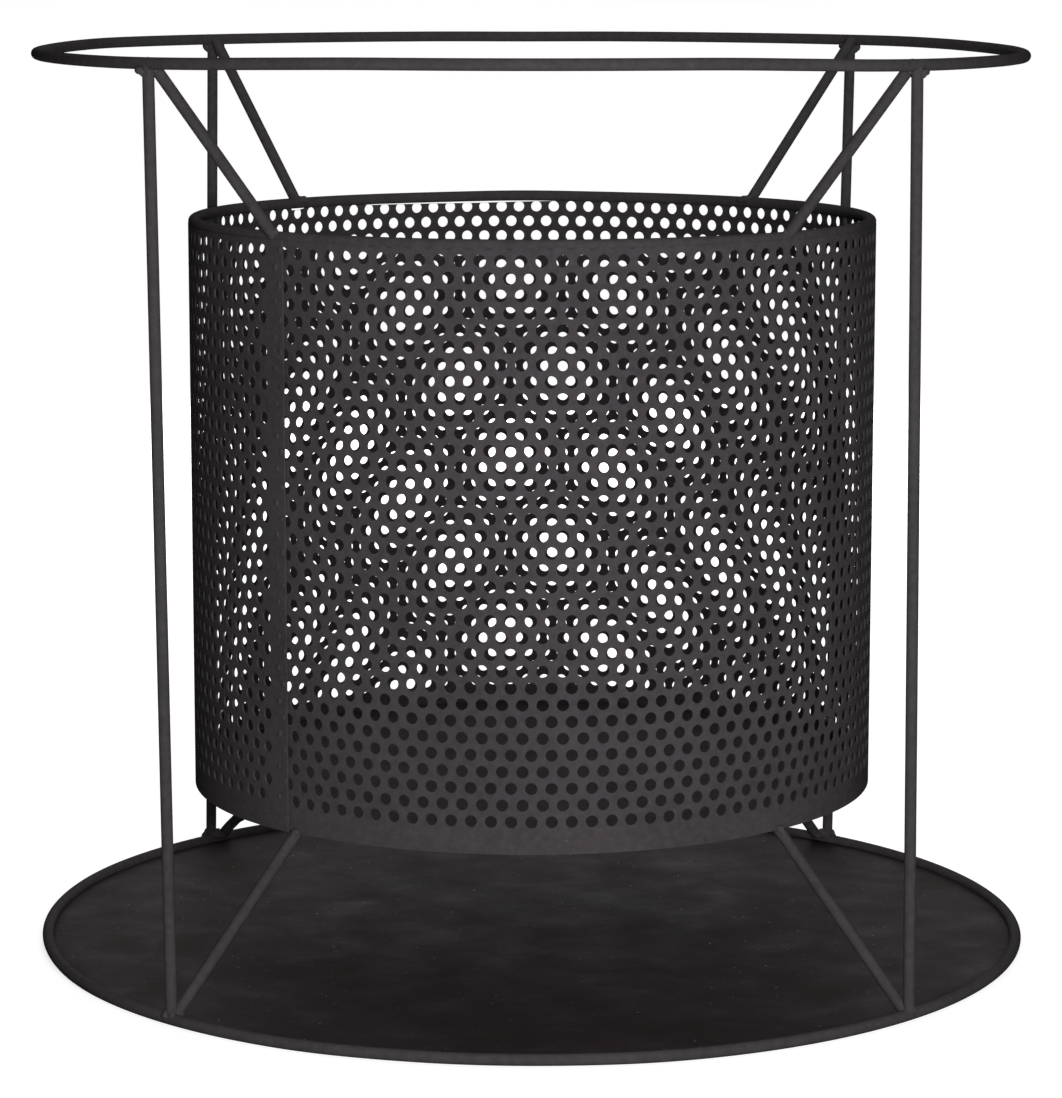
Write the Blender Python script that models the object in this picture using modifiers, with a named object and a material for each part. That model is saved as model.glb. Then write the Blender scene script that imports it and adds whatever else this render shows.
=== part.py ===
"""Fire basket on a round-bar stand: a perforated steel cylinder held between a top ring and a
base ring by four posts, four upper stays and four lower stays, with a steel plate in the base ring.

Metres, +Z up. The origin is the middle of the footprint, on the ground. The front faces -Y."""

import math

import bmesh
import bpy
from mathutils import Matrix, Vector

# Stock: round bar and sheet
BAR = 0.006
SHEET = 0.001
PLATE = 0.002
FIT = 0.0003

# Rings of the stand, measured to the middle of the bar
TOP_RING_RADIUS = 0.262
TOP_RING_HEIGHT = 0.4826
BASE_RING_RADIUS = 0.2658

# Perforated basket, outside
BASKET_RADIUS = 0.1844
BASKET_BOTTOM = 0.0849
BASKET_TOP = 0.3948
FLOOR_RISE = 0.004

# Perforation of the real sheet: round holes in staggered rows, and the plain strips above and below
HOLE_DIAMETER = 0.006
HOLE_PITCH = 0.01022
ROW_PITCH = 0.00854
TOP_MARGIN = 0.0095
BOTTOM_MARGIN = 0.0168
# The solid has one opening for each block of this many holes in as many rows, so it is as open
HOLE_BLOCK = 5

# Where each post meets the top ring and the base ring, degrees about +Z
CORNERS = {
    "front_left": (-136.2, -133.9),
    "front_right": (-44.9, -45.0),
    "rear_left": (134.2, 135.6),
    "rear_right": (44.0, 46.9),
}
# Where each upper stay's axis passes the top ring, inside the post, and where it meets the rim
UPPER_STAYS = {
    "front_left": (-136.2, -136.4),
    "front_right": (-45.2, -45.6),
    "rear_left": (134.2, 136.5),
    "rear_right": (43.3, 45.7),
}
STAY_INSET = 0.0025
# Where each lower stay meets the base ring, at the post or beside it, and the basket's lower edge
LOWER_STAYS = {
    "front_left": (-133.7, -132.3),
    "front_right": (-45.3, -46.5),
    "rear_left": (134.1, 133.2),
    "rear_right": (48.4, 47.7),
}

# Weld metal: its thickness round the bars, and the bead at the basket's lower edge
RING_THROAT = 0.0035
RIM_THROAT = 0.002
FOOT_BEAD = 0.0035

# Roundness of the solids
RING_SEGMENTS = 64
BAR_SIDES = 12
HOLE_SIDES = 8
FACETS_PER_COLUMN = 3
BEAD_SIDES = 8

# Colour, roughness and metallic value of each finish
FINISHES = {
    "bar_black": ((0.045, 0.042, 0.043, 1.0), 0.5, 0.6),
    "sheet_black": ((0.05, 0.047, 0.048, 1.0), 0.55, 0.6),
    "plate_steel": ((0.03, 0.028, 0.026, 1.0), 0.6, 0.7),
    "weld_black": ((0.055, 0.052, 0.053, 1.0), 0.45, 0.6),
}

# Worked out from the sizes above
BAR_RADIUS = BAR / 2
RING_TOUCH = BAR_RADIUS + FIT
RING_BEAD = BAR_RADIUS + RING_THROAT
RIM_BEAD = BAR_RADIUS + RIM_THROAT
RIM_RADIUS = BASKET_RADIUS - BAR_RADIUS
RIM_HEIGHT = BASKET_TOP - BAR_RADIUS
OPENING_RADIUS = HOLE_BLOCK * HOLE_DIAMETER / 2
COLUMNS = int(2 * math.pi * BASKET_RADIUS / (HOLE_BLOCK * HOLE_PITCH))
COLUMN_ANGLE = 2 * math.pi / COLUMNS
FACET_ANGLE = COLUMN_ANGLE / FACETS_PER_COLUMN
INNER_FLAT = (BASKET_RADIUS - SHEET) * math.cos(FACET_ANGLE / 2)
WALL_TOP = RIM_HEIGHT - math.sqrt(RING_TOUCH**2 - (INNER_FLAT - RIM_RADIUS) ** 2)


def clear_scene():
    for obj in list(bpy.data.objects):
        bpy.data.objects.remove(obj, do_unlink=True)


def new_collection(name):
    collection = bpy.data.collections.new(name)
    bpy.context.scene.collection.children.link(collection)
    return collection


def finish(name):
    """A plain material for one of the finishes."""
    material = bpy.data.materials.get(name)
    if material is None:
        colour, roughness, metallic = FINISHES[name]
        material = bpy.data.materials.new(name)
        material.use_nodes = True
        shader = material.node_tree.nodes["Principled BSDF"]
        shader.inputs["Base Color"].default_value = colour
        shader.inputs["Roughness"].default_value = roughness
        shader.inputs["Metallic"].default_value = metallic
    return material


def add_object(name, bm, collection, material=None):
    """Object from a bmesh, shaded smooth except across its sharp edges."""
    mesh = bpy.data.meshes.new(name)
    bm.to_mesh(mesh)
    bm.free()
    obj = bpy.data.objects.new(name, mesh)
    collection.objects.link(obj)
    if material:
        mesh.materials.append(material)
        mesh.shade_smooth()
        mesh.set_sharp_from_angle(angle=math.radians(40))
    return obj


def at(azimuth, radius, height):
    """Point in the upright plane through the middle at an azimuth in radians."""
    return Vector((radius * math.cos(azimuth), radius * math.sin(azimuth), height))


def rod_mesh(start, end, radius, sides):
    """Closed straight rod from start to end."""
    bm = bmesh.new()
    axis = end - start
    place = Matrix.Translation((start + end) / 2) @ axis.to_track_quat("Z", "X").to_matrix().to_4x4()
    bmesh.ops.create_cone(
        bm,
        cap_ends=True,
        segments=sides,
        radius1=radius,
        radius2=radius,
        depth=axis.length,
        matrix=place,
    )
    return bm


def add_rod(name, start, end, collection, material):
    return add_object(name, rod_mesh(start, end, BAR_RADIUS, BAR_SIDES), collection, material)


def add_ring(name, radius, height, collection, material):
    """Ring of round bar lying flat."""
    bpy.ops.mesh.primitive_torus_add(
        major_segments=RING_SEGMENTS,
        minor_segments=BAR_SIDES,
        major_radius=radius,
        minor_radius=BAR_RADIUS,
        location=(0, 0, height),
    )
    ring = bpy.context.object
    for owner in list(ring.users_collection):
        owner.objects.unlink(ring)
    collection.objects.link(ring)
    ring.name = name
    ring.data.materials.append(material)
    ring.data.shade_smooth()
    return ring


def add_disc(name, radius, bottom, thickness, collection, material):
    """Round flat plate."""
    bm = bmesh.new()
    place = Matrix.Translation((0, 0, bottom + thickness / 2))
    bmesh.ops.create_cone(
        bm,
        cap_ends=True,
        segments=RING_SEGMENTS,
        radius1=radius,
        radius2=radius,
        depth=thickness,
        matrix=place,
    )
    return add_object(name, bm, collection, material)


def add_cutter(name, bm, cutters):
    cutter = add_object(name, bm, cutters)
    cutter.hide_render = True
    cutter.display_type = "WIRE"
    return cutter


def subtract(obj, cutter):
    cut = obj.modifiers.new("cut_" + cutter.name, "BOOLEAN")
    cut.operation = "DIFFERENCE"
    cut.solver = "EXACT"
    cut.object = cutter


def opening_places():
    """Azimuth and height of the middle of each opening, in staggered rows from the top down."""
    highest = BASKET_TOP - TOP_MARGIN + HOLE_DIAMETER / 2 - OPENING_RADIUS
    lowest = BASKET_BOTTOM + BOTTOM_MARGIN - HOLE_DIAMETER / 2 + OPENING_RADIUS
    spacing = HOLE_BLOCK * ROW_PITCH
    rows = int((highest - lowest) / spacing) + 1
    places = []
    for row in range(rows):
        stagger = (row % 2) / 2
        for column in range(COLUMNS):
            places.append(((column + stagger) * COLUMN_ANGLE, highest - row * spacing))
    return places


def add_wall(collection, cutters, material):
    """Rolled sheet: a faceted open tube given its thickness, then perforated. The first row's
    openings are each in the middle of a facet."""
    corners = [(i - 0.5) * FACET_ANGLE for i in range(COLUMNS * FACETS_PER_COLUMN)]
    bm = bmesh.new()
    foot = [bm.verts.new(at(azimuth, BASKET_RADIUS, BASKET_BOTTOM)) for azimuth in corners]
    edges = [bm.edges.new((foot[i - 1], foot[i])) for i in range(len(foot))]
    tube = bmesh.ops.extrude_edge_only(bm, edges=edges)["geom"]
    top = [item for item in tube if isinstance(item, bmesh.types.BMVert)]
    bmesh.ops.translate(bm, verts=top, vec=(0, 0, WALL_TOP - BASKET_BOTTOM))
    bmesh.ops.recalc_face_normals(bm, faces=bm.faces)
    wall = add_object("basket_wall", bm, collection, material)
    shell = wall.modifiers.new("thickness", "SOLIDIFY")
    shell.thickness = SHEET
    shell.offset = -1
    shell.use_even_offset = True

    holes = bmesh.new()
    for azimuth, height in opening_places():
        inside = at(azimuth, BASKET_RADIUS - 4 * SHEET, height)
        outside = at(azimuth, BASKET_RADIUS + 2 * SHEET, height)
        punch = rod_mesh(inside, outside, OPENING_RADIUS, HOLE_SIDES)
        piece = bpy.data.meshes.new("punch")
        punch.to_mesh(piece)
        punch.free()
        holes.from_mesh(piece)
        bpy.data.meshes.remove(piece)
    subtract(wall, add_cutter("punches", holes, cutters))
    return wall


def upper_line(head, rim):
    """Axis of an upper stay, from inside the top ring's bar to the middle of the rim wire."""
    return at(head, TOP_RING_RADIUS - STAY_INSET, TOP_RING_HEIGHT), at(rim, RIM_RADIUS, RIM_HEIGHT)


def lower_line(foot, edge):
    """Axis of a lower stay, from the middle of the base ring to the basket's lower edge."""
    return at(foot, BASE_RING_RADIUS, BAR_RADIUS), at(edge, BASKET_RADIUS - SHEET / 2, BASKET_BOTTOM)


def beside_post(line, inset=0.0):
    """How far along a stay its flat end starts, so that its corner just clears the post. The line
    itself starts an inset away from the post's middle."""
    direction = (line[1] - line[0]).normalized()
    rise = abs(direction.z)
    run = math.hypot(direction.x, direction.y)
    return (BAR_RADIUS * (1 + rise) + FIT - inset) / run


def trimmed(line, before, after):
    """The line shortened by a length at each end."""
    direction = (line[1] - line[0]).normalized()
    return line[0] + direction * before, line[1] - direction * after


def edge_clearance(line):
    """How far short of the sheet's middle a stay ends, to clear the sheet's lower outer corner."""
    direction = (line[0] - line[1]).normalized()
    return math.hypot(direction.x, direction.y) * SHEET / 2 + FIT


def grown(start, end):
    """Cutter rod that leaves the fit around a bar."""
    radius = RING_TOUCH / math.cos(math.pi / BEAD_SIDES)
    return rod_mesh(start, end, radius, BEAD_SIDES)


def add_bead(name, centre, radius, rods, collection, cutters, material, widen=0.0):
    """Weld bead: a small ball, wider along the ring by a length, hollowed where the bars run
    through it."""
    bm = bmesh.new()
    turn = Matrix.Rotation(math.atan2(centre.y, centre.x), 4, "Z")
    bmesh.ops.create_uvsphere(
        bm,
        u_segments=BEAD_SIDES,
        v_segments=BEAD_SIDES // 2 + 1,
        radius=radius,
        matrix=Matrix.Translation(centre) @ turn @ Matrix.Diagonal((1, 1 + widen / radius, 1, 1)),
    )
    bead = add_object(name, bm, collection, material)
    for index, rod in enumerate(rods):
        subtract(bead, add_cutter(f"{name}_cut_{index}", rod, cutters))
    return bead


def tangent_rod(azimuth, radius, height, reach):
    """Cutter along a ring's bar, straight over the short length of a bead."""
    middle = at(azimuth, radius, height)
    along = Vector((-math.sin(azimuth), math.cos(azimuth), 0)) * reach
    return grown(middle - along, middle + along)


def build():
    clear_scene()
    parts = new_collection("brazier")
    cutters = new_collection("cutters")
    bar = finish("bar_black")
    sheet = finish("sheet_black")
    weld = finish("weld_black")

    add_ring("top_ring", TOP_RING_RADIUS, TOP_RING_HEIGHT, parts, bar)
    add_ring("base_ring", BASE_RING_RADIUS, BAR_RADIUS, parts, bar)
    add_ring("basket_rim", RIM_RADIUS, RIM_HEIGHT, parts, bar)
    plate_radius = BASE_RING_RADIUS - math.sqrt(RING_TOUCH**2 - (BAR_RADIUS - PLATE) ** 2)
    add_disc("base_plate", plate_radius, 0.0, PLATE, parts, finish("plate_steel"))
    add_wall(parts, cutters, sheet)
    floor_radius = INNER_FLAT - FIT
    add_disc("basket_floor", floor_radius, BASKET_BOTTOM + FLOOR_RISE, PLATE, parts, sheet)

    for corner, (head_degrees, foot_degrees) in CORNERS.items():
        head = math.radians(head_degrees)
        foot = math.radians(foot_degrees)
        post_top = at(head, TOP_RING_RADIUS, TOP_RING_HEIGHT - RING_TOUCH)
        post_foot = at(foot, BASE_RING_RADIUS, BAR + FIT)
        add_rod("post_" + corner, post_foot, post_top, parts, bar)
        stay_head, stay_rim = (math.radians(degrees) for degrees in UPPER_STAYS[corner])
        upper = upper_line(stay_head, stay_rim)
        upper_ends = trimmed(upper, beside_post(upper, STAY_INSET), RING_TOUCH)
        add_rod("upper_stay_" + corner, *upper_ends, parts, bar)
        stay_foot, stay_edge = (math.radians(degrees) for degrees in LOWER_STAYS[corner])
        lower = lower_line(stay_foot, stay_edge)
        lower_ends = trimmed(lower, beside_post(lower), edge_clearance(lower))
        add_rod("lower_stay_" + corner, *lower_ends, parts, bar)

        reach = Vector((0, 0, 2 * RING_BEAD))
        slack = Vector((0, 0, FIT))
        add_bead(
            "weld_post_head_" + corner,
            at((head + stay_head) / 2, TOP_RING_RADIUS - BAR / 4, TOP_RING_HEIGHT - BAR),
            RING_BEAD,
            [
                tangent_rod(head, TOP_RING_RADIUS, TOP_RING_HEIGHT, reach.z),
                grown(post_top + slack, post_top - reach),
                grown(*trimmed(upper_ends, -FIT, 0)),
            ],
            parts,
            cutters,
            weld,
        )
        add_bead(
            "weld_post_foot_" + corner,
            at((foot + stay_foot) / 2, BASE_RING_RADIUS - BAR / 4, BAR_RADIUS + BAR),
            RING_BEAD,
            [
                tangent_rod((foot + stay_foot) / 2, BASE_RING_RADIUS, BAR_RADIUS, reach.z),
                grown(post_foot - slack, post_foot + reach),
                grown(*trimmed(lower_ends, -FIT, 0)),
            ],
            parts,
            cutters,
            weld,
            abs(foot - stay_foot) / 2 * BASE_RING_RADIUS,
        )
        add_bead(
            "weld_rim_" + corner,
            at(stay_rim, BASKET_RADIUS, BASKET_TOP),
            RIM_BEAD,
            [
                tangent_rod(stay_rim, RIM_RADIUS, RIM_HEIGHT, reach.z),
                grown(*trimmed(upper_ends, 0, -FIT)),
            ],
            parts,
            cutters,
            weld,
        )
        add_bead(
            "weld_basket_foot_" + corner,
            at(stay_edge, BASKET_RADIUS + FOOT_BEAD + FIT, BASKET_BOTTOM + FOOT_BEAD / 2),
            FOOT_BEAD,
            [grown(*trimmed(lower_ends, 0, -FIT))],
            parts,
            cutters,
            weld,
        )


build()
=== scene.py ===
"""Looks of the fire basket: smooth round bar, the whole perforated sheet with its lap seam and tacks,
weld metal at each joint, the plate in the base ring, and their black coats."""

import math
import random

import bmesh
import bpy
import numpy as np
from mathutils import Matrix, Vector, noise


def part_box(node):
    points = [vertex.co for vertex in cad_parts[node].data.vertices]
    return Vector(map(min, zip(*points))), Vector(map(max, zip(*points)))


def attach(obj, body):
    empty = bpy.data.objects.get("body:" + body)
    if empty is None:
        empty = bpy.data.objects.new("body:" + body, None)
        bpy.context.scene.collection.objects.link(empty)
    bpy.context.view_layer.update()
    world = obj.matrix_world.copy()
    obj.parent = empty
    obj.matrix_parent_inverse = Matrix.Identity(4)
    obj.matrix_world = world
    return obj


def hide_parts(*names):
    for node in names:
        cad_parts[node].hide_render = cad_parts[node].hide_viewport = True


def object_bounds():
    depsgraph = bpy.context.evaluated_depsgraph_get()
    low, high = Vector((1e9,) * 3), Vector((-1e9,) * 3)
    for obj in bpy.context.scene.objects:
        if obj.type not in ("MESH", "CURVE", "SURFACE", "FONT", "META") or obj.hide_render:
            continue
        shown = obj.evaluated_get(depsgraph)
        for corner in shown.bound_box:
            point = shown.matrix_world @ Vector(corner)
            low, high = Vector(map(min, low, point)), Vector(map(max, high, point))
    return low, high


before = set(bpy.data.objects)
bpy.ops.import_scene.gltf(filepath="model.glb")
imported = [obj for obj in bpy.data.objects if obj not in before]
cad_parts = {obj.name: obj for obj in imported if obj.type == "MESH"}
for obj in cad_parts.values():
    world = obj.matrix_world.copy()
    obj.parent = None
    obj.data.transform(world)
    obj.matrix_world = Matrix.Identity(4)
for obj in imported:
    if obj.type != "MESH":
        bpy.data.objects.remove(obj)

CAD_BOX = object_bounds()

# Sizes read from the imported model
BAR_RADIUS = (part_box("top_ring")[1].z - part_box("top_ring")[0].z) / 2
TOP_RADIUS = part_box("top_ring")[1].x - BAR_RADIUS
TOP_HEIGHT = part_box("top_ring")[1].z - BAR_RADIUS
BASE_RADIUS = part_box("base_ring")[1].x - BAR_RADIUS
RIM_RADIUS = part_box("basket_rim")[1].x - BAR_RADIUS
RIM_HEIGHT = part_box("basket_rim")[1].z - BAR_RADIUS
WALL_RADIUS = RIM_RADIUS + BAR_RADIUS
WALL_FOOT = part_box("basket_wall")[0].z
CORNERS = ("front_left", "front_right", "rear_left", "rear_right")

# How far bars run past their middle line's end into the bar that they meet, and the facets of a bar
SHORT_REACH = 0.7 * BAR_RADIUS
LONG_REACH = 1.6 * BAR_RADIUS
BAR_SIDES = 24
ROD_STEPS = 24

# Sheet and its perforation: a staggered lattice of round holes that climbs a little round the basket
SHEET = 0.001
HOLE_RADIUS = 0.0031
HOLE_SIDES = 16
HOLES_AROUND = 113.4557
PITCH_ANGLE = 2 * math.pi / HOLES_AROUND
HOLE_ROWS = 34
MIDDLE_ROW = 16.5
ROW_PITCH = 0.008545
FIRST_ROW = 0.384768
ROW_CLIMB = 0.000139
# Every other row sits a little off the middle of the stagger, and the columns lean a little
ROW_SLIP = 0.03145
COLUMN_LEAN = -0.00233
# Slow waves round the basket, as the parts by sine and cosine of the azimuth and of twice it
ROW_WAVE = (0.000557, 0.000091, -0.000008, -0.00013)
COLUMN_WAVE = (0.0137, -0.0103, -0.0001, -0.0353)
# Columns are quarters of the pitch round the basket, counted from the first whole hole's left side
FIRST_COLUMN = 0.23595
START_COLUMN = -2
PATTERN_END = 452
LAP_COLUMNS = 4
# Both ends of the sheet in pitches from the seam line, and how the lap lifts it and dies away
SHEET_START = FIRST_COLUMN + START_COLUMN / 4
SHEET_END = HOLES_AROUND + 0.78
LAP_LIFT = 0.0008
LAP_RELAX = 6.0
# Room kept between the first row's upper line and the sheet's edge, and steps of the edge's strip
EDGE_MARGIN = 0.00003
EDGE_STEPS = 6
# Upper edge of the sheet: azimuth in degrees, and metres over the rim wire's middle line
EDGE_LINE = (
    (-136.2, -0.0009),
    (-65.0, -0.0010),
    (0.0, -0.0012),
    (40.0, -0.0014),
    (70.0, -0.0022),
    (86.0, -0.0029),
    (93.0, -0.0034),
    (99.0, -0.0038),
    (106.0, -0.0038),
    (119.0, -0.0036),
    (123.0, -0.0028),
    (134.0, -0.0028),
    (134.4, -0.0042),
    (137.3, -0.0042),
    (137.7, -0.0028),
    (150.0, -0.0022),
    (180.0, -0.0012),
    (230.0, -0.0010),
)
# The row that the edge cuts through shows between these azimuths, in front
NOTCHED = (-121.0, -66.0)

# The top ring isn't quite flat: azimuth in degrees and height in millimetres over the level
RING_BEND = (
    (-180, -1.7), (-170, -1.6), (-150, -2.0), (-140, -2.13), (-130, -1.66), (-120, -0.73), (-110, 0),
    (-80, 0), (-70, -0.1), (-65, -0.65), (-60, -1.23), (-50, -2.41), (-40, -2.81), (-10, -2.75),
    (-5, -2.6), (15, -1.43), (25, -0.58), (35, 0), (80, 0), (90, -0.27), (100, 0), (155, 0),
    (160, -0.33), (165, -0.69), (172, -1.3), (180, -1.7),
)
# Nor does the base ring lie quite flat: it stands off the ground at the rear left
BASE_BEND = (
    (-180, 1.9), (-175, 1.7), (-168, 1.2), (-163, 0.9), (-158, 0.3), (-152, 0), (-115, 0), (-108, 0.45),
    (-87, 0.45), (-78, 0), (70, 0), (100, 1.6), (125, 2.8), (160, 2.8), (170, 2.3), (180, 1.9),
)
# The sheet's lower edge stands a little high, most at the right: azimuth and rise in millimetres
FOOT_RISE = (
    (-180, 1.4), (-165, 1.3), (-150, 1.0), (-134, 0.9), (-127, 1.0), (-115, 0.75), (-90, 0.65),
    (-77, 0.95), (-65, 1.1), (-53, 1.55), (-45, 1.8), (-30, 2.0), (-10, 2.2), (0, 2.2), (90, 1.8), (180, 1.4),
)
# Sideways lean of the posts, from nothing at the foot to this at the top ring
TOP_LEAN = -0.0007
# The rim wire stands up a little behind: height, and azimuth and width in degrees
RIM_BUMP = 0.0005
RIM_BUMP_PLACE = 91
RIM_BUMP_WIDTH = 12
# Feet below this height go with the base ring's bend, less and less with their height
FOOT_ZONE = 3 * BAR_RADIUS + WALL_FOOT / 8
FOOT_FADE = 6 * BAR_RADIUS
FOOT_SHARE = 1.6

# Plates: points round the edge, rings across, and how much of the bar's radius the base plate
# stays inside the base ring's middle line
PLATE_AROUND = 192
PLATE_RINGS = 24
PLATE_REACH = 0.6
# Waviness of the base plate and of the basket's floor, in metres
PLATE_RIPPLE = 0.0005
BASKET_FLOOR_RIPPLE = 0.0004

# Angles in degrees from which an edge of a bar, the sheet or a plate is drawn sharp
BAR_SHARP = 40
SHEET_SHARP = 35
PLATE_SHARP = 50

# Weld metal: size of the skin's cells, and scale and depth of its rough and its fine ripple
WELD_CELL = 0.0006
WELD_ROUGH = (420, 0.0003)
WELD_FINE = (1100, 0.00012)
# Each lump has two smaller ones beside it, of this share of its radius
CRUMB_SHARES = (0.45, 0.7)
# Tacks down the seam: their two columns in pitches, radii, and how far one strays
TACK_COLUMNS = (0.60, 0.24)
TACK_RADII = (0.0011, 0.0017)
TACK_STRAY = 0.05
TACK_DRIFT = 0.0006

# Coats of the bars, the sheet and the welds: dark and light tone, depth of the orange peel,
# roughness and specular level
BAR_COAT = ((0.044, 0.0395, 0.0425), (0.056, 0.051, 0.054), 0.15, 0.55, 0.0)
SHEET_COAT = ((0.046, 0.041, 0.0445), (0.059, 0.053, 0.057), 0.2, 0.55, 0.0)
WELD_COAT = ((0.044, 0.040, 0.0425), (0.060, 0.055, 0.058), 0.3, 0.5, 0.06)
DUST = (0.16, 0.15, 0.15)
# Tones of the plate
PLATE_DARK = (0.0070, 0.0046, 0.0061)
PLATE_LIGHT = (0.0185, 0.0132, 0.0165)
PLATE_PATCH = (0.0235, 0.0182, 0.0145)
PLATE_SCUFF = (0.043, 0.037, 0.041)
PLATE_SPECK = (0.22, 0.21, 0.20)
# A low refraction keeps the coats from turning pale at their edges
COAT_REFRACTION = 1.06
PLATE_REFRACTION = 1.5

# Studio: the floor's grey, and how its glow grows from near to far, as distances and strengths
FLOOR_GREY = 0.5
FLOOR_GLOW = (0.3, 1.5, 0.80, 1.0)
LAMP_AIM = (0, 0, 0.25)
# Lamps: name, place, width and height, power
KEY_LAMP = ("key", (0.2, -1.7, 0.5), (0.4, 0.3), 23)
FILL_LAMPS = (("rear", (0, 2.4, 0.8), (1.0, 1.0), 40), ("top", (0, 0.2, 2.6), (1.5, 1.5), 14))

# Weld lumps of each joint, in millimetres from the ring's, the rim's or the edge's middle line there:
# to the right, to the front, up, radius, and the way in which it is stretched and how much
WELDS = {
    "head": {
        "front_left": (
            (-4.3, 0.4, -3.6, 1.9, "ring", 1.5),
            (-2.6, 0.8, -4.6, 1.7, "up", 1.3),
            (0.4, 2.3, -4.6, 1.4, "up", 2.0),
            (1.2, -3.2, -4.2, 2.4, "up", 1.3),
            (3.0, -1.2, -3.4, 2.0, "ring", 1.3),
            (0.2, 1.0, 1.9, 1.3, "ring", 1.4),
        ),
        "front_right": (
            (3.9, 0.4, -3.5, 1.9, "ring", 1.4),
            (2.6, 0.6, -4.8, 1.6, "up", 1.4),
            (-3.6, 1.4, -3.3, 1.4, "ring", 1.3),
            (-1.0, -3.2, -4.2, 2.4, "up", 1.3),
            (-2.6, 1.0, 1.9, 1.3, "ring", 1.4),
        ),
        "rear_left": (
            (-3.9, 0.2, -3.9, 2.0, "up", 1.4),
            (-2.4, 0.6, -5.4, 1.8, "up", 1.5),
            (2.4, 1.6, -4.8, 2.6, "up", 1.3),
            (2.9, 2.4, -8.2, 1.6, "up", 1.3),
            (5.0, 1.4, -3.6, 1.9, "ring", 1.2),
            (-2.4, 0.6, 1.9, 1.4, "ring", 1.3),
        ),
        "rear_right": (
            (4.2, 0.2, -3.9, 2.0, "up", 1.4),
            (2.5, 0.6, -5.4, 1.8, "up", 1.5),
            (-2.4, 1.6, -4.8, 2.6, "up", 1.3),
            (-3.1, 2.4, -8.4, 1.6, "up", 1.3),
            (-5.0, 1.4, -3.6, 1.9, "ring", 1.2),
        ),
    },
    "foot": {
        "front_left": (
            (-3.4, 0.8, 2.0, 1.6, "ring", 1.5),
            (-2.4, 0.6, 3.6, 1.4, "up", 1.3),
            (0.6, 2.4, 2.6, 1.8, "up", 1.2),
            (4.2, -1.6, 2.6, 2.0, "ring", 1.2),
            (2.0, -3.4, 4.6, 2.2, "up", 1.3),
        ),
        "front_right": (
            (-3.4, 0.4, 3.4, 1.5, "rise", 2.0),
            (-1.2, 2.2, 1.8, 1.8, "ring", 1.3),
            (-2.0, -3.2, 4.6, 2.2, "up", 1.3),
            (2.6, 1.0, 3.0, 1.6, "up", 1.3),
        ),
        "rear_left": (
            (-4.0, 0.6, 2.6, 1.7, "ring", 1.4),
            (-2.9, 0.8, 4.8, 1.6, "up", 1.5),
            (3.4, 0.6, 3.2, 2.6, "ring", 1.4),
            (4.2, 1.2, 5.0, 2.0, "up", 1.2),
            (6.6, 0.4, 2.4, 1.9, "ring", 1.3),
        ),
        "rear_right": (
            (3.6, 0.6, 2.4, 1.7, "ring", 1.3),
            (2.9, 0.8, 4.4, 1.5, "up", 1.5),
            (-2.8, 0.6, 3.2, 2.5, "ring", 1.4),
            (-3.8, 1.2, 4.8, 2.0, "up", 1.2),
            (-6.0, 0.4, 2.4, 1.8, "ring", 1.3),
        ),
    },
    "rim": {
        "front_left": ((-0.4, 2.2, 2.6, 2.1, "ring", 1.6), (-2.6, 1.6, 2.0, 1.6, "ring", 1.3)),
        "front_right": ((0.4, 2.2, 2.6, 2.0, "ring", 1.6), (2.4, 1.6, 2.0, 1.5, "ring", 1.3)),
        "rear_left": (
            (0.0, 0.6, 2.4, 2.1, "ring", 1.5),
            (3.2, 0.4, 2.0, 2.0, "ring", 1.6),
            (5.6, 0.0, 1.2, 1.5, "ring", 1.5),
        ),
        "rear_right": (
            (0.0, 0.6, 2.4, 2.1, "ring", 1.5),
            (-3.2, 0.4, 2.0, 2.0, "ring", 1.6),
            (-5.6, 0.0, 1.2, 1.5, "ring", 1.5),
        ),
    },
    "edge": {
        "front_left": (
            (0.6, 1.2, 0.6, 2.0, "ring", 1.4),
            (-1.0, 2.6, -2.0, 1.7, "up", 1.4),
            (-1.6, 4.0, -4.2, 1.3, "up", 1.3),
        ),
        "front_right": ((-0.6, 1.2, 0.6, 2.0, "ring", 1.4), (1.0, 2.6, -2.0, 1.7, "up", 1.4)),
        "rear_left": ((0.0, 0.0, 0.4, 2.2, "ring", 1.4), (-1.0, -1.4, -2.0, 1.7, "up", 1.3)),
        "rear_right": ((0.0, 0.0, 0.4, 2.2, "ring", 1.4), (1.0, -1.4, -2.0, 1.7, "up", 1.3)),
    },
}

# Camera, fitted to the photograph
CAMERA_PLACE = (-0.03108, -2.05696, 0.54102)
CAMERA_DOWN = 0.15862
CAMERA_RIGHT = 0.01484
CAMERA_ROLL = 0.00062
FOCAL_LENGTH = 125.26


def rod_ends(node):
    """Lower and upper end of a rod's middle line."""
    points = np.array([vertex.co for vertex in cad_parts[node].data.vertices])
    middle = points.mean(0)
    direction = np.linalg.svd(points - middle, full_matrices=False)[2][0]
    along = (points - middle) @ direction
    reach = np.abs(along).max() - BAR_RADIUS / 4
    ends = [Vector(points[along < -reach].mean(0)), Vector(points[along > reach].mean(0))]
    return sorted(ends, key=lambda point: point.z)


def add_piece(name, mesh, material, nodes=(), smooth_angle=None):
    """Object on the root body, with its finish and the nodes that it stands for."""
    piece = bpy.data.objects.new(name, mesh)
    bpy.context.scene.collection.objects.link(piece)
    mesh.materials.append(material)
    mesh.shade_smooth()
    if smooth_angle:
        mesh.set_sharp_from_angle(angle=math.radians(smooth_angle))
    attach(piece, "root")
    if nodes:
        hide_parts(*nodes)


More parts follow.
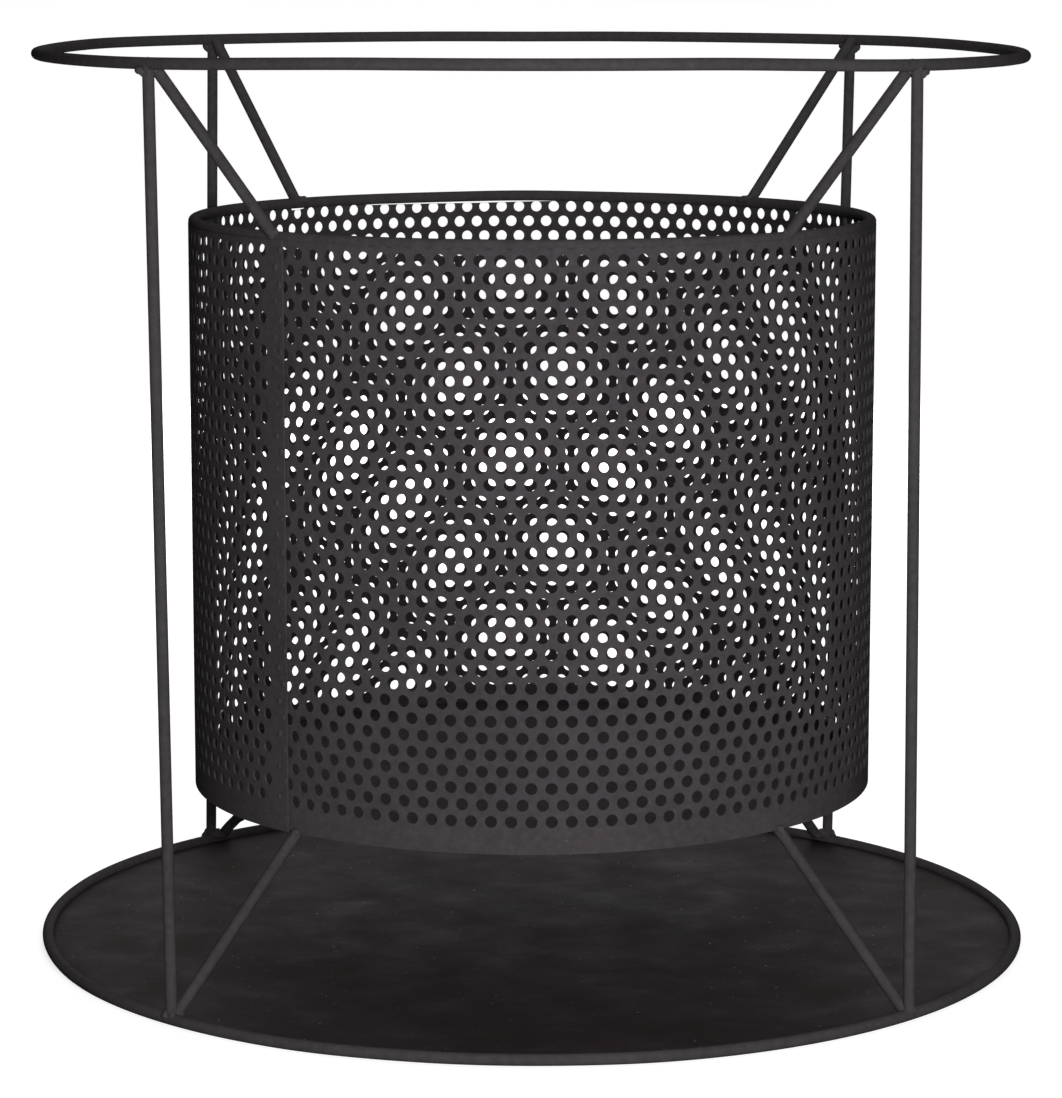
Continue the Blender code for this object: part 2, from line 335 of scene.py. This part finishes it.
def tube_mesh(name, path, radius, sides, closed=False):
    """Round tube along a list of points, capped unless it closes on itself."""
    count = len(path)
    bm = bmesh.new()
    rings = []
    side = None
    for i, point in enumerate(path):
        before = path[i - 1] if closed or i else path[0]
        after = path[(i + 1) % count] if closed or i < count - 1 else path[-1]
        direction = (after - before).normalized()
        if side is None:
            side = direction.orthogonal()
        side = (side - direction * side.dot(direction)).normalized()
        across = direction.cross(side)
        ring = []
        for k in range(sides):
            turn = 2 * math.pi * k / sides
            ring.append(bm.verts.new(point + (side * math.cos(turn) + across * math.sin(turn)) * radius))
        rings.append(ring)
    spans = count if closed else count - 1
    for i in range(spans):
        near = rings[i]
        far = rings[(i + 1) % count]
        for k in range(sides):
            j = (k + 1) % sides
            bm.faces.new((near[k], near[j], far[j], far[k]))
    if not closed:
        bm.faces.new(reversed(rings[0]))
        bm.faces.new(rings[-1])
    mesh = bpy.data.meshes.new(name)
    bm.to_mesh(mesh)
    bm.free()
    return mesh


def bend(line, azimuth):
    """Height in metres that one of the lines gives at an azimuth in radians, smoothed a little."""
    places, heights = zip(*line)
    degrees = (math.degrees(azimuth) + np.arange(-4, 5) + 180) % 360 - 180
    return float(np.interp(degrees, places, heights).mean()) / 1000


def circle_path(name, radius, height, count=256):
    """Points round a ring, with the bend and the lean that the ring of that name has."""
    path = []
    for i in range(count):
        turn = 2 * math.pi * i / count
        point = Vector((radius * math.cos(turn), radius * math.sin(turn), height))
        if name == "top_ring":
            point.z += bend(RING_BEND, turn)
            point.x += TOP_LEAN
        if name == "base_ring":
            point.z += bend(BASE_BEND, turn)
        if name == "basket_rim":
            off = (math.degrees(turn) - RIM_BUMP_PLACE) / RIM_BUMP_WIDTH
            point.z += RIM_BUMP * math.exp(-(off**2))
        path.append(point)
    return path


def followed(point):
    """A point of a post, a stay or a weld, moved with the bend and lean of the ring that it is near."""
    share = min(max((point.z - BAR_RADIUS) / (TOP_HEIGHT - BAR_RADIUS), 0), 1)
    near = min(max((point.z - RIM_HEIGHT) / (TOP_HEIGHT - RIM_HEIGHT), 0), 1)
    azimuth = math.atan2(point.y, point.x)
    lift = bend(RING_BEND, azimuth) * near
    if point.z < FOOT_ZONE:
        lift += bend(BASE_BEND, azimuth) * min(1, FOOT_SHARE - point.z / FOOT_FADE)
    return point + Vector((TOP_LEAN * share, 0, lift))


def add_bars(coat):
    """Rings, rim wire, posts and stays of smooth round bar, run into each other at their joints."""
    for name, radius, height in (
        ("top_ring", TOP_RADIUS, TOP_HEIGHT),
        ("base_ring", BASE_RADIUS, BAR_RADIUS),
        ("basket_rim", RIM_RADIUS, RIM_HEIGHT),
    ):
        path = circle_path(name, radius, height)
        mesh = tube_mesh(name + "_bar", path, BAR_RADIUS, BAR_SIDES, closed=True)
        add_piece(name + "_bar", mesh, coat, [name])
    for corner in CORNERS:
        for kind, low_reach, high_reach in (
            ("post_", BAR_RADIUS, BAR_RADIUS),
            ("upper_stay_", BAR_RADIUS, LONG_REACH),
            ("lower_stay_", LONG_REACH, SHORT_REACH),
        ):
            node = kind + corner
            low, high = rod_ends(node)
            direction = (high - low).normalized()
            start = low - direction * low_reach
            end = high + direction * high_reach
            path = [followed(start.lerp(end, i / ROD_STEPS)) for i in range(ROD_STEPS + 1)]
            mesh = tube_mesh(node + "_bar", path, BAR_RADIUS, BAR_SIDES)
            add_piece(node + "_bar", mesh, coat, [node], BAR_SHARP)


def seam_azimuth():
    """Azimuth of the front left post's head, which the sheet's lap seam follows."""
    head = rod_ends("post_front_left")[1]
    return math.atan2(head.y, head.x)


def wave(turn, parts):
    """Slow wave round the basket."""
    azimuth = SEAM + turn
    once = parts[0] * math.sin(azimuth) + parts[1] * math.cos(azimuth)
    return once + parts[2] * math.sin(2 * azimuth) + parts[3] * math.cos(2 * azimuth)


def column_turn(column, quarter_rows):
    """Angle from the seam line, in radians, of a quarter column of the sheet at a quarter row."""
    lean = COLUMN_LEAN * (MIDDLE_ROW - quarter_rows / 4)
    pitches = FIRST_COLUMN + min(column, PATTERN_END) / 4 + lean
    pitches += wave(pitches * PITCH_ANGLE, COLUMN_WAVE)
    if column > PATTERN_END:
        pitches += (SHEET_END - pitches) * (column - PATTERN_END) / LAP_COLUMNS
    return pitches * PITCH_ANGLE


def lap_offset(turn):
    """How far the sheet stands out of the round: its start goes under its end."""
    pitches = turn / PITCH_ANGLE
    outward = math.exp((pitches - SHEET_END) / LAP_RELAX)
    inward = math.exp((SHEET_START - pitches) / LAP_RELAX)
    return LAP_LIFT * (outward - inward)


def row_height(turn, quarter_rows):
    """Height of a line of the lattice, a number of quarter rows below the first row's upper line."""
    first = FIRST_ROW + ROW_CLIMB * (turn - math.pi / 4) + wave(turn, ROW_WAVE)
    return first + ROW_PITCH / 2 - quarter_rows * ROW_PITCH / 4


def sheet_top(turn):
    """Height of the sheet's upper edge, a little under the rim wire's middle line."""
    azimuth = math.degrees(SEAM + turn)
    places, heights = zip(*EDGE_LINE)
    return RIM_HEIGHT + float(np.interp(azimuth, places, heights))


def notched_top(column, slide):
    """Point of the upper edge a part of a quarter column on, cut by the row of holes that it halves."""
    turn = column_turn(column, 0) * (1 - slide) + column_turn(column + 1, 0) * slide
    edge = sheet_top(turn)
    degrees = (math.degrees(SEAM + turn) + 180) % 360 - 180
    if column < START_COLUMN + 2 or column >= PATTERN_END or not NOTCHED[0] < degrees < NOTCHED[1]:
        return turn, edge
    centre = round((column + slide) / 4) * 4
    middle = column_turn(centre, -2) - ROW_SLIP * PITCH_ANGLE
    across = (turn - middle) * WALL_RADIUS
    if abs(across) < HOLE_RADIUS:
        bottom = row_height(turn, -2) - math.sqrt(HOLE_RADIUS**2 - across**2)
        edge = min(edge, bottom)
    return turn, edge


SEAM = seam_azimuth()


class Sheet:
    """Flat lattice of points and faces, bent round the basket and given its thickness."""

    def __init__(self):
        self.points = []
        self.faces = []
        self.grid = {}

    def add(self, turn, height):
        self.points.append((turn, height))
        return len(self.points) - 1

    def corner(self, column, row, last_row):
        """Point of the grid of quarter columns and quarter rows."""
        key = (column, row)
        if key not in self.grid:
            turn = column_turn(column, row)
            height = row_height(turn, row)
            if row == 0:
                height = min(height, sheet_top(turn) - EDGE_MARGIN)
            if row > last_row:
                height = row_height(turn, last_row)
                height += (WALL_FOOT + bend(FOOT_RISE, SEAM + turn) - height) * (row - last_row) / 2
            self.grid[key] = self.add(turn, height)
        return self.grid[key]

    def plain(self, columns, rows, last_row):
        """Plain steel over a range of quarter columns and quarter rows."""
        for column in range(*columns):
            for row in range(*rows):
                left = (self.corner(column, row + 1, last_row), self.corner(column, row, last_row))
                right = (self.corner(column + 1, row, last_row), self.corner(column + 1, row + 1, last_row))
                self.faces.append((left[0], right[1], right[0], left[1]))

    def hole(self, column, row, last_row):
        """One hole in its cell: four quarter columns wide and four quarter rows high."""
        rim = []
        for k in range(4):
            rim.append((column + 2, row + 2 - k))
        for k in range(4):
            rim.append((column + 2 - k, row - 2))
        for k in range(4):
            rim.append((column - 2, row - 2 + k))
        for k in range(4):
            rim.append((column - 2 + k, row + 2))
        centre_turn = column_turn(column, row)
        centre_height = row_height(centre_turn, row)
        centre_turn += (ROW_SLIP if row % 8 == 2 else -ROW_SLIP) * PITCH_ANGLE
        ring = []
        for k in range(HOLE_SIDES):
            angle = 2 * math.pi * (k - 2) / HOLE_SIDES
            turn = centre_turn + HOLE_RADIUS * math.cos(angle) / WALL_RADIUS
            ring.append(self.add(turn, centre_height + HOLE_RADIUS * math.sin(angle)))
            if row == 2:
                height = min(self.points[-1][1], sheet_top(turn) - 2 * EDGE_MARGIN)
                self.points[-1] = (turn, height)
        outer = [self.corner(*place, last_row) for place in rim]
        for k in range(HOLE_SIDES):
            j = (k + 1) % HOLE_SIDES
            self.faces.append((outer[k], outer[j], ring[j], ring[k]))

    def top_strip(self, last_row):
        """Narrow strip above the first row, up to the edge and its half holes."""
        before = self.add(*notched_top(START_COLUMN, 0))
        for column in range(START_COLUMN, PATTERN_END + LAP_COLUMNS):
            left = self.corner(column, 0, last_row)
            right = self.corner(column + 1, 0, last_row)
            for k in range(1, EDGE_STEPS + 1):
                after = self.add(*notched_top(column, k / EDGE_STEPS))
                if k <= EDGE_STEPS // 2:
                    self.faces.append((left, after, before))
                else:
                    self.faces.append((right, after, before))
                if k == EDGE_STEPS // 2:
                    self.faces.append((left, right, after))
                before = after

    def mesh(self, name):
        """Outer and inner face, and the cut edges between them, with a flat map for each side."""
        flat = np.array(self.points)
        outer_radius = np.array([WALL_RADIUS + lap_offset(turn) for turn in flat[:, 0]])
        azimuth = SEAM + flat[:, 0]
        sides = []
        for radius in (outer_radius, outer_radius - SHEET):
            sides.append(np.stack([radius * np.cos(azimuth), radius * np.sin(azimuth), flat[:, 1]], -1))
        count = len(flat)
        edges = np.array([(a, b) for face in self.faces for a, b in zip(face, face[1:] + face[:1])])
        keys = np.sort(edges, 1)
        _, first, times = np.unique(keys, axis=0, return_index=True, return_counts=True)
        rim = edges[first[times == 1]]
        cut = np.stack([rim[:, 1], rim[:, 0], rim[:, 0] + count, rim[:, 1] + count], -1)
        inner = [tuple(point + count for point in reversed(face)) for face in self.faces]
        mesh = bpy.data.meshes.new(name)
        mesh.from_pydata(np.concatenate(sides).tolist(), [], self.faces + inner + cut.tolist())
        span = flat.max(0) - flat.min(0)
        unit = (flat - flat.min(0)) / span
        half = np.array([1.0, 0.498])
        places = np.concatenate([unit * half + (0, 0.502), unit * half])
        uv = mesh.uv_layers.new(name="OFBake")
        corners = np.zeros(len(mesh.loops), dtype=np.int32)
        mesh.loops.foreach_get("vertex_index", corners)
        chosen = places[corners]
        cut_loops = np.arange(2 * len(edges), len(corners))
        chosen[cut_loops] = places[corners[cut_loops] % count]
        uv.data.foreach_set("uv", chosen.astype(np.float32).ravel())
        return mesh


def add_wall(coat):
    """The perforated sheet, in an upper and a lower half so that each mesh stays a workable size."""
    halfway = HOLE_ROWS // 2
    last_line = 4 * HOLE_ROWS
    for name, rows in (("basket_sheet_upper", (0, halfway)), ("basket_sheet_lower", (halfway, HOLE_ROWS))):
        sheet = Sheet()
        for row in range(*rows):
            stagger = 2 * (row % 2)
            lines = (4 * row, 4 * row + 4)
            first = START_COLUMN if stagger else 0
            last = PATTERN_END - stagger
            if not stagger:
                sheet.plain((START_COLUMN, 0), lines, last_line)
            else:
                sheet.plain((last, PATTERN_END), lines, last_line)
            for column in range(first + 2, last, 4):
                sheet.hole(column, 4 * row + 2, last_line)
            sheet.plain((PATTERN_END, PATTERN_END + LAP_COLUMNS), lines, last_line)
        if rows[0] == 0:
            sheet.top_strip(last_line)
        if rows[1] == HOLE_ROWS:
            sheet.plain((START_COLUMN, PATTERN_END + LAP_COLUMNS), (last_line, last_line + 2), last_line)
        add_piece(name, sheet.mesh(name), coat, ["basket_wall"], SHEET_SHARP)


def disc_mesh(name, radius, bottom, thickness, ripple, seed, rim_line=()):
    """Flat round plate with a small rounded edge and a slight waviness. Its outer part is bent up
    along with a ring's line."""
    edge = thickness * 0.3
    profile = [(radius * k / PLATE_RINGS, bottom + thickness) for k in range(1, PLATE_RINGS)]
    profile += [(radius - edge, bottom + thickness), (radius - edge * 0.3, bottom + thickness - edge * 0.3)]
    profile += [(radius, bottom + thickness - edge), (radius, bottom + edge)]
    profile += [(radius - edge * 0.3, bottom + edge * 0.3), (radius - edge, bottom)]
    bm = bmesh.new()
    rings = []
    for reach, height in profile:
        ring = []
        for k in range(PLATE_AROUND):
            turn = 2 * math.pi * k / PLATE_AROUND
            x = reach * math.cos(turn)
            y = reach * math.sin(turn)
            swell = noise.noise(Vector((x * 9 + seed, y * 9, seed))) * ripple
            lift = swell if height > bottom + edge else 0
            if rim_line:
                lift += bend(rim_line, turn) * max(0, (reach / radius - 0.5) * 2) ** 2
            ring.append(bm.verts.new((x, y, max(height + lift, 0.0))))
        rings.append(ring)
    for near, far in zip(rings, rings[1:]):
        for k in range(PLATE_AROUND):
            j = (k + 1) % PLATE_AROUND
            bm.faces.new((near[k], far[k], far[j], near[j]))
    top = bm.verts.new((0, 0, bottom + thickness))
    for k in range(PLATE_AROUND):
        bm.faces.new((top, rings[0][k], rings[0][(k + 1) % PLATE_AROUND]))
    bm.faces.new(reversed(rings[-1]))
    mesh = bpy.data.meshes.new(name)
    bm.to_mesh(mesh)
    bm.free()
    return mesh


def add_plates(sheet_coat, steel_coat):
    """The base plate inside the base ring, and the basket's floor."""
    low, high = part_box("base_plate")
    reach = BASE_RADIUS - BAR_RADIUS * PLATE_REACH
    thickness = high.z - low.z
    mesh = disc_mesh("base_plate_disc", reach, low.z, thickness, PLATE_RIPPLE, 3.0, BASE_BEND)
    add_piece("base_plate_disc", mesh, steel_coat, ["base_plate"], PLATE_SHARP)
    low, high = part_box("basket_floor")
    reach = WALL_RADIUS - SHEET
    thickness = high.z - low.z
    mesh = disc_mesh("basket_floor_disc", reach, low.z, thickness, BASKET_FLOOR_RIPPLE, 8.0)
    add_piece("basket_floor_disc", mesh, sheet_coat, ["basket_floor"], PLATE_SHARP)


def blob(name, lumps, coat, nodes, seed):
    """Weld metal: lumps melted into one skin, with a rough rippled surface. A lump is a centre, a
    radius and a stretch along a direction."""
    bm = bmesh.new()
    for centre, radius, axis, stretch in lumps:
        centre = followed(centre)
        turn = Vector(axis).to_track_quat("Z", "Y").to_matrix().to_4x4()
        grow = Matrix.Diagonal((1, 1, stretch, 1))
        place = Matrix.Translation(centre) @ turn @ grow
        bmesh.ops.create_icosphere(bm, subdivisions=3, radius=radius, matrix=place)
    mesh = bpy.data.meshes.new(name)
    bm.to_mesh(mesh)
    bm.free()
    piece = bpy.data.objects.new(name, mesh)
    bpy.context.scene.collection.objects.link(piece)
    melt = piece.modifiers.new("melt", "REMESH")
    melt.mode = "VOXEL"
    melt.voxel_size = WELD_CELL
    ease = piece.modifiers.new("ease", "SMOOTH")
    ease.factor = 0.6
    ease.iterations = 4
    graph = bpy.context.evaluated_depsgraph_get()
    melted = bpy.data.meshes.new_from_object(piece.evaluated_get(graph))
    bpy.data.objects.remove(piece)
    bpy.data.meshes.remove(mesh)
    melted.name = name
    for vertex in melted.vertices:
        rough = noise.noise(vertex.co * WELD_ROUGH[0] + Vector((seed, 0, 0))) * WELD_ROUGH[1]
        fine = noise.noise(vertex.co * WELD_FINE[0] + Vector((0, seed, 0))) * WELD_FINE[1]
        vertex.co += vertex.normal * (rough + fine)
        vertex.co.z = min(max(vertex.co.z, 0.0), CAD_BOX[1][2])
    add_piece(name, melted, coat, nodes)


def local(azimuth, radius, height):
    """Point at an azimuth, with the outward and the sideways direction there."""
    out = Vector((math.cos(azimuth), math.sin(azimuth), 0))
    side = Vector((-math.sin(azimuth), math.cos(azimuth), 0))
    return out * radius + Vector((0, 0, height)), out, side


def add_welds(coat):
    """Weld lumps at both ends of each post and stay."""
    up = Vector((0, 0, 1))
    for index, corner in enumerate(CORNERS):
        draw = random.Random(40 + index)
        post_foot, post_head = rod_ends("post_" + corner)
        rim_end = rod_ends("upper_stay_" + corner)[0]
        edge_end = rod_ends("lower_stay_" + corner)[1]
        for place, end, radius, height, node in (
            ("head", post_head, TOP_RADIUS, TOP_HEIGHT, "weld_post_head_"),
            ("foot", post_foot, BASE_RADIUS, BAR_RADIUS, "weld_post_foot_"),
            ("rim", rim_end, RIM_RADIUS, RIM_HEIGHT, "weld_rim_"),
            ("edge", edge_end, WALL_RADIUS, WALL_FOOT, "weld_basket_foot_"),
        ):
            azimuth = math.atan2(end.y, end.x)
            if place == "edge":
                height += bend(FOOT_RISE, azimuth)
            centre, _, side = local(azimuth, radius, height)
            ways = {"up": up, "ring": side, "rise": side + up}
            lumps = []
            for right, near, high, size, way, stretch in WELDS[place][corner]:
                spot = centre + Vector((right, -near, high)) / 1000
                lumps.append((spot, size / 1000, ways[way], stretch))
                spread = size / 2200
                for _ in range(2):
                    shift = Vector([draw.uniform(-spread, spread) for _ in range(3)])
                    lumps.append((spot + shift, size * draw.uniform(*CRUMB_SHARES) / 1000, up, 1.0))
            blob(place + "_weld_" + corner, lumps, coat, [node + corner], 10 * len(place) + index)


def add_tacks(coat):
    """Small tack welds down the lap seam, one a row, in two columns."""
    draw = random.Random(5)
    bm = bmesh.new()
    for row in range(HOLE_ROWS):
        pitches = TACK_COLUMNS[row % 2] + draw.uniform(-TACK_STRAY, TACK_STRAY)
        turn = pitches * PITCH_ANGLE
        height = row_height(turn + 2 * math.pi, 4 * row + 2) + draw.uniform(-TACK_DRIFT, TACK_DRIFT)
        centre, out, _ = local(SEAM + turn, WALL_RADIUS + LAP_LIFT, height)
        size = draw.uniform(*TACK_RADII)
        turned = out.to_track_quat("Z", "Y").to_matrix().to_4x4()
        place = Matrix.Translation(centre) @ turned @ Matrix.Diagonal((1, 1.2, 0.35, 1))
        bmesh.ops.create_uvsphere(bm, u_segments=14, v_segments=8, radius=size, matrix=place)
    for vertex in bm.verts:
        vertex.co += vertex.co.normalized() * noise.noise(vertex.co * 900) * 0.0001
    mesh = bpy.data.meshes.new("seam_tacks")
    bm.to_mesh(mesh)
    bm.free()
    add_piece("seam_tacks", mesh, coat)


class Shader:
    """Small helper that builds a node material."""

    def __init__(self, name):
        self.material = bpy.data.materials.new(name)
        self.material.use_nodes = True
        self.tree = self.material.node_tree
        self.tree.nodes.clear()
        self.output = self.tree.nodes.new("ShaderNodeOutputMaterial")
        self.place = self.tree.nodes.new("ShaderNodeTexCoord").outputs["Object"]

    def link(self, source, target):
        self.tree.links.new(source, target)

    def noise(self, scale, detail, roughness, distortion=0.0):
        node = self.tree.nodes.new("ShaderNodeTexNoise")
        node.inputs["Scale"].default_value = scale
        node.inputs["Detail"].default_value = detail
        node.inputs["Roughness"].default_value = roughness
        node.inputs["Distortion"].default_value = distortion
        self.link(self.place, node.inputs["Vector"])
        return node.outputs["Fac"]

    def spread(self, value, low, high, to_low=0.0, to_high=1.0):
        """Maps low to high onto to_low to to_high, clamped."""
        node = self.tree.nodes.new("ShaderNodeMapRange")
        self.link(value, node.inputs["Value"])
        for socket, number in zip(("From Min", "From Max", "To Min", "To Max"), (low, high, to_low, to_high)):
            node.inputs[socket].default_value = number
        return node.outputs["Result"]

    def mix(self, factor, first, second):
        """Colour mix. first and second are colours or sockets."""
        node = self.tree.nodes.new("ShaderNodeMix")
        node.data_type = "RGBA"
        self.link(factor, node.inputs["Factor"])
        for socket, colour in (("A", first), ("B", second)):
            target = [s for s in node.inputs if s.name == socket and s.type == "RGBA"][0]
            if isinstance(colour, tuple):
                target.default_value = (*colour, 1.0)
            else:
                self.link(colour, target)
        return [s for s in node.outputs if s.type == "RGBA"][0]

    def bump(self, height, strength, distance, normal=None):
        node = self.tree.nodes.new("ShaderNodeBump")
        node.inputs["Strength"].default_value = strength
        node.inputs["Distance"].default_value = distance
        self.link(height, node.inputs["Height"])
        if normal:
            self.link(normal, node.inputs["Normal"])
        return node.outputs["Normal"]

    def finish(self, colour, roughness, normal, specular, refraction):
        shader = self.tree.nodes.new("ShaderNodeBsdfPrincipled")
        self.link(colour, shader.inputs["Base Color"])
        self.link(roughness, shader.inputs["Roughness"])
        self.link(normal, shader.inputs["Normal"])
        shader.inputs["Specular IOR Level"].default_value = specular
        shader.inputs["IOR"].default_value = refraction
        self.link(shader.outputs[0], self.output.inputs["Surface"])
        return self.material


def black_coat(name, dark, light, peel, roughness, specular):
    """Baked-on black coat: faint clouding, specks of dust and a fine orange peel."""
    shader = Shader(name)
    cloud = shader.noise(14, 4, 0.6)
    grain = shader.noise(260, 3, 0.6)
    tone = shader.mix(shader.spread(cloud, 0.3, 0.7), dark, light)
    grainy = shader.mix(shader.spread(grain, 0.35, 0.75, 0.0, 0.35), tone, tuple(c * 1.7 for c in light))
    dust = shader.spread(shader.noise(900, 1, 0.5), 0.74, 0.8, 0.0, 0.5)
    colour = shader.mix(dust, grainy, DUST)
    rough = shader.spread(shader.noise(35, 4, 0.6), 0.3, 0.7, roughness - 0.05, roughness + 0.07)
    fine = shader.bump(shader.noise(1500, 2, 0.5), peel, 0.0002)
    normal = shader.bump(shader.noise(120, 2, 0.5), peel * 0.6, 0.0006, fine)
    return shader.finish(colour, rough, normal, specular, COAT_REFRACTION)


def plate_coat(name):
    """Black steel plate, faintly clouded, with brown patches, rubbed streaks and pale specks."""
    shader = Shader(name)
    cloud = shader.noise(7, 6, 0.62, 0.6)
    patch = shader.noise(26, 5, 0.6, 0.3)
    base = shader.mix(shader.spread(cloud, 0.35, 0.68), PLATE_DARK, PLATE_LIGHT)
    base = shader.mix(shader.spread(patch, 0.45, 0.75, 0.0, 0.6), base, PLATE_PATCH)
    scuff = shader.spread(shader.noise(70, 6, 0.7, 1.5), 0.6, 0.72, 0.0, 0.35)
    base = shader.mix(scuff, base, PLATE_SCUFF)
    speck = shader.spread(shader.noise(420, 1, 0.5), 0.76, 0.8, 0.0, 0.8)
    colour = shader.mix(speck, base, PLATE_SPECK)
    rough = shader.spread(patch, 0.3, 0.7, 0.5, 0.72)
    fine = shader.bump(shader.noise(700, 3, 0.6), 0.25, 0.0003)
    normal = shader.bump(patch, 0.2, 0.002, fine)
    return shader.finish(colour, rough, normal, 0.03, PLATE_REFRACTION)


def add_camera():
    """Camera at its fitted place, turned down, to the right and a little round its own line of sight."""
    data = bpy.data.cameras.new("camera")
    data.lens = FOCAL_LENGTH
    data.clip_end = 60
    camera = bpy.data.objects.new("camera", data)
    bpy.context.scene.collection.objects.link(camera)
    down, right = CAMERA_DOWN, CAMERA_RIGHT
    forward = Vector((math.sin(right) * math.cos(down), math.cos(right) * math.cos(down), -math.sin(down)))
    level = Vector((math.cos(right), -math.sin(right), 0))
    upward = level.cross(forward)
    across = level * math.cos(CAMERA_ROLL) + upward * math.sin(CAMERA_ROLL)
    upward = upward * math.cos(CAMERA_ROLL) - level * math.sin(CAMERA_ROLL)
    turn = Matrix((across, upward, -forward)).transposed().to_4x4()
    camera.matrix_world = Matrix.Translation(CAMERA_PLACE) @ turn
    bpy.context.scene.camera = camera


def add_lamp(name, place, size, power):
    """Soft rectangular lamp that points at the basket's middle."""
    data = bpy.data.lights.new(name, "AREA")
    data.shape = "RECTANGLE"
    data.size, data.size_y = size
    data.energy = power
    lamp = bpy.data.objects.new(name, data)
    bpy.context.scene.collection.objects.link(lamp)
    lamp.location = place
    lamp.rotation_euler = (Vector(LAMP_AIM) - Vector(place)).to_track_quat("-Z", "Y").to_euler()
    return lamp


def background_share(tree):
    """1 for the rays that show the background: camera, glossy and transmission rays."""
    path = tree.nodes.new("ShaderNodeLightPath")
    share = path.outputs["Is Camera Ray"]
    for name in ("Is Glossy Ray", "Is Transmission Ray"):
        either = tree.nodes.new("ShaderNodeMath")
        either.operation = "MAXIMUM"
        tree.links.new(share, either.inputs[0])
        tree.links.new(path.outputs[name], either.inputs[1])
        share = either.outputs[0]
    return share


def add_studio():
    """Pale floor, white surroundings and soft light from the camera's side, behind and above."""
    bpy.ops.mesh.primitive_plane_add(size=30, location=(0, 0, -0.0002))
    floor = bpy.context.object
    floor.name = "floor"
    material = bpy.data.materials.new("floor")
    material.use_nodes = True
    tree = material.node_tree
    tree.nodes.clear()
    diffuse = tree.nodes.new("ShaderNodeBsdfDiffuse")
    diffuse.inputs["Color"].default_value = (FLOOR_GREY, FLOOR_GREY, FLOOR_GREY, 1)
    place = tree.nodes.new("ShaderNodeTexCoord")
    reach = tree.nodes.new("ShaderNodeVectorMath")
    reach.operation = "LENGTH"
    tree.links.new(place.outputs["Object"], reach.inputs[0])
    whiter = tree.nodes.new("ShaderNodeMapRange")
    for socket, number in zip(("From Min", "From Max", "To Min", "To Max"), FLOOR_GLOW):
        whiter.inputs[socket].default_value = number
    tree.links.new(reach.outputs["Value"], whiter.inputs["Value"])
    seen = tree.nodes.new("ShaderNodeMath")
    seen.operation = "MULTIPLY"
    tree.links.new(background_share(tree), seen.inputs[0])
    tree.links.new(whiter.outputs["Result"], seen.inputs[1])
    glow = tree.nodes.new("ShaderNodeEmission")
    tree.links.new(seen.outputs[0], glow.inputs["Strength"])
    both = tree.nodes.new("ShaderNodeAddShader")
    tree.links.new(diffuse.outputs[0], both.inputs[0])
    tree.links.new(glow.outputs[0], both.inputs[1])
    output = tree.nodes.new("ShaderNodeOutputMaterial")
    tree.links.new(both.outputs[0], output.inputs["Surface"])
    floor.data.materials.append(material)

    world = bpy.data.worlds.new("studio")
    bpy.context.scene.world = world
    world.use_nodes = True
    tree = world.node_tree
    tree.nodes.clear()
    white = tree.nodes.new("ShaderNodeBackground")
    white.inputs["Color"].default_value = (1, 1, 1, 1)
    tree.links.new(background_share(tree), white.inputs["Strength"])
    output = tree.nodes.new("ShaderNodeOutputWorld")
    tree.links.new(white.outputs[0], output.inputs["Surface"])

    add_lamp(*KEY_LAMP)
    for fill in FILL_LAMPS:
        lamp = add_lamp(*fill)
        lamp.visible_glossy = False


def main():
    add_camera()
    bars = black_coat("bar_coat", *BAR_COAT)
    sheet = black_coat("sheet_coat", *SHEET_COAT)
    weld = black_coat("weld_coat", *WELD_COAT)
    add_bars(bars)
    add_wall(sheet)
    add_plates(sheet, plate_coat("plate_coat"))
    add_welds(weld)
    add_tacks(weld)
    add_studio()
    bpy.context.scene.view_settings.view_transform = "Standard"


main()
